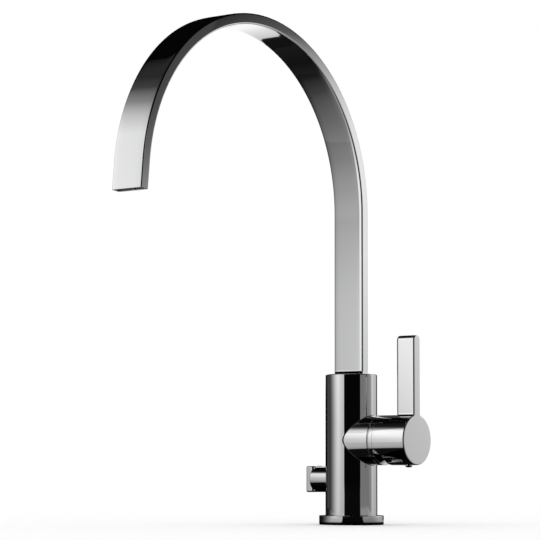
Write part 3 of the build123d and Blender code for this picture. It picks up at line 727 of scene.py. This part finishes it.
class TAP_OT_lever(bpy.types.Operator):
    """Model the lever: a barrel with a flat bar that stands on its end"""

    bl_idname = "tap.lever"
    bl_label = "Mixer lever"

    def execute(self, context):
        sizes = context.scene.tap_sizes
        high = node_high("lever_handle")
        radius = sizes.neck_radius
        start, end = node_high("collar_ring").x + 0.1 * MM, high.x
        bar_start = end - sizes.bar_width
        half = 9.55 / 2 * MM
        # the arcs at the bar's foot run into the barrel at this angle from its top
        root_angle = radians(18)
        inner = radius - 0.01 * MM
        root = (half - inner * sin(root_angle)) / (sin(root_angle) - 1)
        foot = MIXER_Z + radius - 4 * MM
        bar = flat_bar(
            "bar", bar_start, end, foot, top=high.z, half=half, reach=inner + root,
            root=root, root_angle=root_angle, corner=sizes.lever_corner,
        )
        on_inner_end = edges_at("x", bar_start)
        round_edges(
            bar, lambda a, b: on_inner_end(a, b) and max(a.z, b.z) > foot + 0.1 * MM,
            sizes.lever_inner_edge, 8, SHARP,
        )
        piece = turned("mixer_lever", [(start, radius), (end, radius)], "X", MIXER_Z, 200, "BOTH")
        cut(piece, bar, "UNION")
        # one flat end, with its outline rounded
        edit(piece, "FACE")
        pick_faces(piece, lambda centre, normal: near(centre.x, end) and normal.x > 0.9)
        bpy.ops.mesh.dissolve_faces()
        leave_edit()
        rim_edge = 0.12 * MM
        round_edges(piece, edges_at("x", end), sizes.lever_edge, 5, SHARP)
        round_edges(piece, edges_at("x", start), rim_edge, 2, SHARP)
        # hollow of the barrel
        hollow_end = 54 * MM
        hollow = drill(
            radius - 2.4 * MM, on_mixer_axis(start - 2 * MM), on_mixer_axis(hollow_end), 128
        )
        cut(piece, hollow)
        # notch that lets the lever tilt outwards, deeper towards the collar
        slope = 7.4 / 7.2
        notch_start, notch_end, notch_top = start - 4 * MM, 43.5 * MM, MIXER_Z - 14.6 * MM
        wide = 40 * MM
        notch = block((notch_start, -wide, MIXER_Z - wide), (notch_end, wide, notch_top))
        edit(notch, "VERT")
        pick_verts(notch, lambda v: near(v.x, notch_start) and near(v.z, notch_top))
        bpy.ops.transform.translate(value=(0, 0, (notch_end - notch_start) * slope))
        leave_edit()
        cut(piece, notch)
        # socket for the spindle
        side = 4.1 * MM
        socket_end = node_high("cartridge_spindle").x + 0.1 * MM
        cut(piece, block((50 * MM, -side, MIXER_Z - side), (socket_end, side, MIXER_Z + side)))
        # hole of the screw that holds it, wider for the plug
        plug = node_high("handle_plug")
        hole_x = middle("handle_plug").x
        for width, hole_top in ((3.0 * MM, MIXER_Z), (3.2 * MM, plug.z)):
            cut(piece, drill(width, (hole_x, 0, MIXER_Z - 30 * MM), (hole_x, 0, hole_top), 48))
        finish_surface(piece, "polished_chrome")
        true_round(piece, "X", MIXER_Z, radius, start + rim_edge, end - sizes.lever_edge)
        fit_in(piece, "lever", "chrome", "lever_handle")
        return {"FINISHED"}


class TAP_OT_knob(bpy.types.Operator):
    """Model the filtered water knob with its flat grip"""

    bl_idname = "tap.knob"
    bl_label = "Filtered water knob"

    def execute(self, context):
        low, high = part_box("filter_knob")
        height = high.y
        radius = height - 0.05 * MM
        shoulder = -37.2 * MM
        rim_edge = 0.3 * MM
        piece = turned(
            "filtered_water_knob", [(high.x, radius), (shoulder, radius)],
            "X", VALVE_Z, 160, "BOTH",
        )
        round_edges(piece, edges_at("x", shoulder), 0.8 * MM, 4, SHARP)
        round_edges(piece, edges_at("x", high.x), rim_edge, 3, SHARP)
        # flat grip across the end, its back rounded into the cylinder
        grip_end = shoulder + 2.8 * MM
        half = 8.4 * MM
        grip = block((low.x, -half, VALVE_Z - height), (grip_end, half, VALVE_Z + height))
        round_edges(grip, edges_at("x", grip_end), 3.3 * MM, 10)
        round_edges(grip, lambda a, b: True, 1.3 * MM, 5, SHARP)
        cut(piece, grip, "UNION")
        # bore over the headwork, square for the stem, hole of the screw
        bore_end, square_end = -28.5 * MM, -36.1 * MM
        cut(piece, drill(9.8 * MM, (bore_end, 0, VALVE_Z), (high.x + 1 * MM, 0, VALVE_Z)))
        side = 2.9 * MM
        cut(piece, block((square_end, -side, VALVE_Z - side), (-28 * MM, side, VALVE_Z + side)))
        screw_x = middle("knob_grub_screw").x
        cut(piece, drill(2.0 * MM, (screw_x, 0, VALVE_Z), (screw_x, 0, VALVE_Z + 20 * MM), 48))
        finish_surface(piece, "polished_chrome")
        true_round(piece, "X", VALVE_Z, radius, grip_end, high.x - rim_edge)
        fit_in(piece, "filter_valve", "chrome", "filter_knob")
        return {"FINISHED"}


class TAP_OT_plug(bpy.types.Operator):
    """Model the plug under the lever's barrel"""

    bl_idname = "tap.plug"
    bl_label = "Barrel plug"

    def execute(self, context):
        low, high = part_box("handle_plug")
        radius = high.y
        piece = turned(
            "barrel_plug", [(low.z, radius), (high.z, radius)], "Z", sides=64, closed="BOTH"
        )
        dome = 1.9 * MM
        round_edges(piece, edges_at("z", low.z), dome, 8)
        make_active(piece)
        bpy.ops.transform.translate(value=(middle("handle_plug").x, 0, 0))
        bpy.ops.object.transform_apply(location=True, rotation=True, scale=True)
        finish_surface(piece, "polished_chrome")
        fit_in(piece, "lever", "chrome", "handle_plug")
        return {"FINISHED"}


def tube_section(name, level, sizes):
    """The spout's flat section as one face, with round corners and flats that fall to them."""
    low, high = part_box("spout_tube")
    width, depth = high.x - low.x + 0.3 * MM, 2 * high.y - 0.08 * MM
    clear_selection()
    bpy.ops.mesh.primitive_plane_add(size=1, location=(0, 0, level))
    bpy.context.object.scale = (width, depth, 1)
    piece = name_piece(name)
    edit(piece, "VERT")
    bpy.ops.mesh.select_all(action="SELECT")
    bpy.ops.mesh.bevel(offset=sizes.spout_corner, segments=5, affect="VERTICES")
    bpy.ops.mesh.select_mode(type="EDGE")
    flat = 2 * (width / 2 - sizes.spout_corner)
    pick_edges(piece, lambda a, b: near(a.y, b.y) and near(abs(a.x - b.x), flat))
    bpy.ops.mesh.subdivide(number_cuts=int(flat / (0.85 * MM)) - 1)
    bpy.ops.mesh.select_mode(type="VERT")
    # how far in from the side each fall of the flats begins, and how far it falls
    for inset, fall in ((5.0, 0.01), (4.0, 0.03), (3.0, 0.05), (2.0, 0.08)):
        pick_verts(piece, lambda v: abs(v.x) > width / 2 - inset * MM)
        bpy.ops.transform.resize(
            value=(1, 1 - fall * MM / (depth / 2), 1), center_override=(0, 0, level)
        )
    bpy.ops.mesh.select_mode(type="FACE")
    bpy.ops.mesh.select_all(action="SELECT")
    return piece


class TAP_OT_spout(bpy.types.Operator):
    """Model the flat tube of the spout, from its foot over the arch to the mouth"""

    bl_idname = "tap.spout"
    bl_label = "Spout"

    def execute(self, context):
        sizes = context.scene.tap_sizes
        foot = node_high("spout_spigot").z
        bend, angle = sizes.bend_radius, sizes.bend_angle
        piece = tube_section("spout", foot, sizes)
        bpy.ops.mesh.inset(thickness=sizes.spout_wall, depth=0)
        bpy.ops.mesh.delete(type="FACE")
        # riser, arch and straight end
        bpy.ops.mesh.select_all(action="SELECT")
        bpy.ops.mesh.extrude_region_move(
            TRANSFORM_OT_translate={"value": Z_AXIS * (sizes.bend_z - foot)}
        )
        bpy.ops.mesh.spin(
            steps=140, angle=-angle, center=(0, -bend, sizes.bend_z), axis=(1, 0, 0)
        )
        tail_way = Vector((0, -sin(angle), cos(angle)))
        bpy.ops.mesh.extrude_region_move(TRANSFORM_OT_translate={"value": tail_way * sizes.tail})
        merge_all()
        face_outwards()
        leave_edit()
        # the outlines of the mouth and of the foot are broken a little
        arch_end = Vector((0, -bend * (1 - cos(angle)), sizes.bend_z + bend * sin(angle)))
        at_mouth = both_ends(lambda v: near((v - arch_end).dot(tail_way), sizes.tail))
        round_edges(piece, at_mouth, 0.3 * MM, 2, SHARP)
        round_edges(piece, edges_at("z", foot), 0.1 * MM, 1, SHARP)
        finish_surface(piece, "polished_chrome")
        fit_in(piece, "spout", "chrome", "spout_tube")
        return {"FINISHED"}


class TAP_OT_foot(bpy.types.Operator):
    """Model the spout's foot: the turned spigot, with a neck as flat as the tube above it"""

    bl_idname = "tap.foot"
    bl_label = "Spout foot"

    def execute(self, context):
        sizes = context.scene.tap_sizes
        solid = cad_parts["spout_spigot"]
        low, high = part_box("spout_spigot")
        piece = bpy.data.objects.new("spout_foot", solid.data.copy())
        context.scene.collection.objects.link(piece)
        edit(piece, "VERT")
        merge_all()
        leave_edit()
        # what is kept of it: the tube's section above the body's rim, and all below the rim
        rim = node_high("body_shell").z
        keep = tube_section("keep", rim - 1 * MM, sizes)
        bpy.ops.mesh.extrude_region_move(
            TRANSFORM_OT_translate={"value": Z_AXIS * (high.z - rim + 2 * MM)}
        )
        face_outwards()
        leave_edit()
        below = drill(high.x + 2 * MM, (0, 0, low.z - 1 * MM), (0, 0, rim + 0.005 * MM), 64)
        cut(keep, below, "UNION")
        cut(piece, keep, "INTERSECT")
        finish_surface(piece, "polished_chrome")
        fit_in(piece, "spout", "chrome", "spout_spigot")
        return {"FINISHED"}


class TAP_OT_inner(bpy.types.Operator):
    """Finish the solids that are right as they are: core, cartridge, valve, seals and screws"""

    bl_idname = "tap.inner"
    bl_label = "Inner pieces"

    def execute(self, context):
        groups = {
            "dark_chrome": ["filter_nozzle"],
            "machined_brass": [
                "body_core", "cartridge_nut", "filter_headwork", "valve_stem",
                "cartridge_spindle",
            ],
            "screw_steel": [
                "spout_stop_screw", "collar_screw", "spindle_pin", "handle_grub_screw",
                "knob_grub_screw",
            ],
            "seal_rubber": [
                "base_gasket", "cartridge_seals", "headwork_seal", "spigot_o_rings",
                "filter_tube_seal",
            ],
            "white_plastic": [
                "cartridge_base", "cartridge_housing", "cartridge_rotor", "disc_carrier",
                "swivel_bush_lower", "swivel_bush_upper", "filter_tube",
            ],
            "dark_plastic": ["outlet_insert"],
            "fired_ceramic": [
                "ceramic_disc_fixed", "ceramic_disc_moving", "valve_disc_fixed",
                "valve_disc_moving",
            ],
        }
        for finish, nodes in groups.items():
            for node in nodes:
                coat(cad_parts[node], finish_named(finish))
        return {"FINISHED"}


# ---------------------------------------------------------------- stage
def maths(tree, operation, *values):
    """The result of one step of maths; each value is a number or another node's output."""
    node = tree.nodes.new("ShaderNodeMath")
    node.operation = operation
    for socket, value in zip(node.inputs, values):
        if isinstance(value, (int, float)):
            socket.default_value = value
        else:
            tree.links.new(value, socket)
    return node.outputs[0]


def graded(tree, source, stops):
    """Brightness along a coordinate, from (place, brightness) stops."""
    first, last = stops[0][0], stops[-1][0]
    reach = tree.nodes.new("ShaderNodeMapRange")
    reach.inputs["From Min"].default_value = first
    reach.inputs["From Max"].default_value = last
    tree.links.new(source, reach.inputs["Value"])
    ramp = tree.nodes.new("ShaderNodeValToRGB")
    link(tree, reach, "Result", ramp, "Fac")
    marks = ramp.color_ramp.elements
    marks[0].position, marks[1].position = 0, 1
    marks[0].color = (stops[0][1],) * 3 + (1,)
    marks[1].color = (stops[-1][1],) * 3 + (1,)
    for place, value in stops[1:-1]:
        mark = marks.new((place - first) / (last - first))
        mark.color = (value,) * 3 + (1,)
    return ramp.outputs["Color"]


def place_of(tree):
    """Place on the piece, as separate x, y and z."""
    coordinates = tree.nodes.new("ShaderNodeTexCoord")
    parts = tree.nodes.new("ShaderNodeSeparateXYZ")
    link(tree, coordinates, "Object", parts, "Vector")
    return parts.outputs


def by_height(stops):
    """Brightness that goes by height alone, from (height, brightness) stops."""
    return lambda tree: graded(tree, place_of(tree)[2], stops)


def even(level):
    """One brightness all over."""
    return by_height([(0, level), (1, level)])


def glow(name, brightness):
    """A material that only glows, brightness(tree) giving the socket that says how much."""
    material, tree, shader = new_finish(name)
    tree.nodes.remove(shader)
    light = tree.nodes.new("ShaderNodeEmission")
    tree.links.new(brightness(tree), light.inputs["Color"])
    link(tree, light, "Emission", tree.nodes["Material Output"], "Surface")
    return material


def screen(name, level, stops):
    """A card of one brightness that lets light through by height, from (height, share) stops."""
    material = glow(name, even(level))
    tree = material.node_tree
    weave = tree.nodes.new("ShaderNodeMixShader")
    tree.links.new(by_height(stops)(tree), weave.inputs["Fac"])
    link(tree, tree.nodes["Emission"], "Emission", weave, 1)
    clear = tree.nodes.new("ShaderNodeBsdfTransparent")
    link(tree, clear, "BSDF", weave, 2)
    link(tree, weave, "Shader", tree.nodes["Material Output"], "Surface")
    return material


def upright_card(start, end, low, high, material):
    """A studio card that stands between two places, for the polished pieces to mirror.

    It stays out of the picture itself and casts neither light nor shadow on dull surfaces.
    """
    clear_selection()
    start, end = Vector((*start, 0)), Vector((*end, 0))
    way = end - start
    bpy.ops.mesh.primitive_plane_add(
        size=1, location=(start + end) / 2 + Z_AXIS * (low + high) / 2,
        rotation=(pi / 2, 0, way.to_2d().angle_signed(Vector((1, 0)))),
    )
    bpy.context.object.scale = (way.length, high - low, 1)
    card = name_piece(material.name)
    coat(card, material)
    card.visible_camera = False
    card.visible_diffuse = False
    card.visible_shadow = False


def front_panel_glow(tree):
    """Dark on its left and high up, with a bright part that leans to the left."""
    x, _, z = place_of(tree)
    lean = maths(tree, "MULTIPLY_ADD", z, 0.35, x)
    # near the floor the bright part stands further to the left
    low_shift = tree.nodes.new("ShaderNodeMapRange")
    low_shift.inputs["From Max"].default_value = 0.1
    low_shift.inputs["To Min"].default_value = 0.055
    low_shift.inputs["To Max"].default_value = 0.0
    tree.links.new(z, low_shift.inputs["Value"])
    across = graded(
        tree, maths(tree, "ADD", lean, low_shift.outputs["Result"]),
        [(-0.95, 0.05), (-0.75, 0.06), (-0.6, 0.09), (-0.45, 0.25), (-0.34, 0.5),
         (-0.26, 0.73), (-0.17, 0.94), (-0.1, 0.84), (0.0, 0.68), (0.3, 0.65)],
    )
    up = graded(
        tree, z,
        [(0, 0.62), (0.1, 0.76), (0.2, 0.93), (0.3, 1.05), (0.44, 1.07),
         (0.52, 0.72), (0.6, 0.3), (0.72, 0.06), (0.86, 0.025), (1.7, 0.02)],
    )
    return maths(tree, "MULTIPLY", across, up)


def backdrop_glow(tree):
    """Bright on its left, darker on its right, and dark again at the top."""
    x, _, z = place_of(tree)
    across = graded(
        tree, x,
        [(-0.69, 0.02), (-0.6, 0.9), (-0.45, 1.0), (-0.3, 0.9), (0.1, 0.65), (0.2, 0.7),
         (0.3, 0.82), (0.37, 0.7), (0.5, 0.32), (0.67, 0.33), (1.0, 0.2)],
    )
    up = graded(
        tree, z,
        [(0, 0.6), (0.1, 0.7), (0.16, 0.76), (0.28, 0.95), (0.36, 1.0), (0.42, 0.95),
         (0.46, 0.77), (0.5, 0.48), (0.54, 0.15), (0.6, 0.06)],
    )
    return maths(tree, "MULTIPLY", across, up)


def floor_finish():
    """White to the eye; in the polished pieces a card that stops short of the foot."""
    material, tree, shader = new_finish("pale_floor")
    shader.inputs["Base Color"].default_value = (0.97, 0.97, 0.97, 1)
    shader.inputs["Roughness"].default_value = 1.0
    shader.inputs["Specular IOR Level"].default_value = 0.0
    x, y, _ = place_of(tree)
    # by degrees round the tap, 0 towards -Y and 90 towards +X
    around = graded(
        tree, maths(tree, "ARCTAN2", x, maths(tree, "MULTIPLY", y, -1)),
        [(radians(angle), value) for angle, value in [
            (-180, 0.3), (-160, 0.1), (-130, 0.012), (-98, 0.006), (-82, 0.015), (-67, 0.08),
            (-56, 0.19), (-47, 0.29), (-35, 0.42), (3, 0.42), (4.5, 0.002), (74, 0.002),
            (76, 0.19), (110, 0.19), (150, 0.36), (180, 0.3),
        ]],
    )
    plan = tree.nodes.new("ShaderNodeCombineXYZ")
    tree.links.new(x, plan.inputs[0])
    tree.links.new(y, plan.inputs[1])
    distance = tree.nodes.new("ShaderNodeVectorMath")
    distance.operation = "LENGTH"
    link(tree, plan, "Vector", distance, 0)
    out = graded(
        tree, distance.outputs["Value"],
        [(0, 0.01), (0.112, 0.01), (0.118, 0.75), (0.2, 1.0), (0.38, 1.02), (0.54, 1.32),
         (3, 1.32)],
    )
    mirrored = tree.nodes.new("ShaderNodeEmission")
    tree.links.new(maths(tree, "MULTIPLY", around, out), mirrored.inputs["Color"])
    path = tree.nodes.new("ShaderNodeLightPath")
    choose = tree.nodes.new("ShaderNodeMixShader")
    link(tree, path, "Is Glossy Ray", choose, "Fac")
    link(tree, shader, "BSDF", choose, 1)
    link(tree, mirrored, "Emission", choose, 2)
    link(tree, choose, "Shader", tree.nodes["Material Output"], "Surface")
    return material


def add_cards():
    """The studio's cards: start and end on the floor, lowest and highest edge, finish."""
    upright_card(
        (0.034, -0.553), (-0.95, -0.155), 0.0, 1.7, glow("front_panel", front_panel_glow)
    )
    upright_card((-0.7, 0.4), (1.0, 0.4), 0.0, 0.62, glow("backdrop", backdrop_glow))
    upright_card((0.95, 0.4), (0.95, -0.25), 0.0, 0.6, glow("side_wing", even(0.17)))
    # darkens the upper right of the backdrop
    corner = by_height(
        [(0.28, 0.26), (0.37, 0.23), (0.43, 0.115), (0.47, 0.075), (0.5, 0.062), (0.62, 0.05)]
    )
    upright_card((0.5, 0.39), (0.8, 0.39), 0.28, 0.62, glow("corner_flag", corner))
    # darken what the edges of round pieces mirror behind the tap
    upright_card(
        (-0.5, 0.2), (0.014, 0.2), 0.0, 0.175,
        screen("low_flag", 0.006, [(0, 0), (0.115, 0), (0.175, 1)]),
    )
    upright_card((-0.2, 0.21), (0.012, 0.21), 0.1, 0.5, glow("tall_flag", even(0.05)))
    # closes the gap between the front panel and the backdrop
    upright_card((-0.96, -0.155), (-0.9, 0.15), 0.0, 0.5, glow("left_wing", even(0.05)))
    # dims the front panel for the riser
    upright_card(
        (-0.165, -0.038), (-0.056, -0.12), 0.1395, 0.39,
        screen(
            "grey_net", 0.0,
            [(0.1395, 0.8), (0.207, 0.62), (0.248, 0.48), (0.278, 0.39), (0.34, 0.48),
             (0.39, 0.55)],
        ),
    )


def studio_world():
    """White to the eye, plain light for dull surfaces, a dark room in the polish."""
    dull_light, dark_room = 1.03, 0.0015
    world = bpy.data.worlds.new("studio")
    world.use_nodes = True
    tree = world.node_tree
    sky = tree.nodes["Background"]
    sky.inputs["Color"].default_value = (1, 1, 1, 1)
    path = tree.nodes.new("ShaderNodeLightPath").outputs
    seen = maths(tree, "ADD", path["Is Camera Ray"], path["Is Transmission Ray"])
    lit = maths(tree, "MULTIPLY_ADD", path["Is Diffuse Ray"], dull_light, seen)
    room = maths(tree, "MULTIPLY_ADD", path["Is Glossy Ray"], dark_room, lit)
    tree.links.new(room, sky.inputs["Strength"])
    return world


def photo_camera():
    """The camera, standing and aimed as the one that took the photo."""
    heading, pitch, roll = 0.6525, 0.0899, 0.0018
    bpy.ops.object.camera_add(location=(1.12877, -1.59413, 0.0456))
    camera = bpy.context.object
    camera.name = "camera"
    camera.data.sensor_width = 36
    camera.data.lens = 149.16
    camera.data.clip_start = 0.05
    camera.data.clip_end = 30
    forward = Vector((-sin(heading) * cos(pitch), cos(heading) * cos(pitch), sin(pitch)))
    level_right = forward.cross(Z_AXIS).normalized()
    level_up = level_right.cross(forward)
    right = cos(roll) * level_right + sin(roll) * level_up
    upward = -sin(roll) * level_right + cos(roll) * level_up
    camera.rotation_euler = Matrix((right, upward, -forward)).transposed().to_euler()
    return camera


class TAP_OT_stage(bpy.types.Operator):
    """Set the floor, the studio light and the camera"""

    bl_idname = "tap.stage"
    bl_label = "Studio"

    def execute(self, context):
        scene = context.scene
        scene.view_settings.view_transform = "Standard"
        clear_selection()
        bpy.ops.mesh.primitive_plane_add(size=8, location=(0, 0, 0))
        floor = name_piece("floor")
        coat(floor, floor_finish())
        add_cards()
        scene.world = studio_world()
        scene.camera = photo_camera()
        return {"FINISHED"}


PIECES = (
    "flange", "body", "seam", "collar", "lever", "knob", "plug", "spout", "foot", "inner",
    "stage",
)


class TAP_PT_panel(bpy.types.Panel):
    """Lists the tap's pieces"""

    bl_idname = "TAP_PT_panel"
    bl_label = "Filtered water tap"
    bl_space_type = "VIEW_3D"
    bl_region_type = "UI"
    bl_category = "Tap"

    def draw(self, context):
        for piece in PIECES:
            self.layout.operator(f"tap.{piece}")


CLASSES = (
    TapLook, TapSizes, TAP_OT_flange, TAP_OT_body, TAP_OT_seam_shade, TAP_OT_collar, TAP_OT_lever,
    TAP_OT_knob, TAP_OT_plug, TAP_OT_spout, TAP_OT_foot, TAP_OT_inner, TAP_OT_stage,
    TAP_PT_panel,
)


def register():
    """Add the classes and the two groups of settings."""
    for item in CLASSES:
        bpy.utils.register_class(item)
    bpy.types.Scene.tap_look = bpy.props.PointerProperty(type=TapLook)
    bpy.types.Scene.tap_sizes = bpy.props.PointerProperty(type=TapSizes)


def unregister():
    """Take them away again."""
    del bpy.types.Scene.tap_sizes
    del bpy.types.Scene.tap_look
    for item in reversed(CLASSES):
        bpy.utils.unregister_class(item)


def main():
    """Make every piece and the studio."""
    register()
    for piece in PIECES:
        getattr(bpy.ops.tap, piece)()


if __name__ == "__main__":
    main()
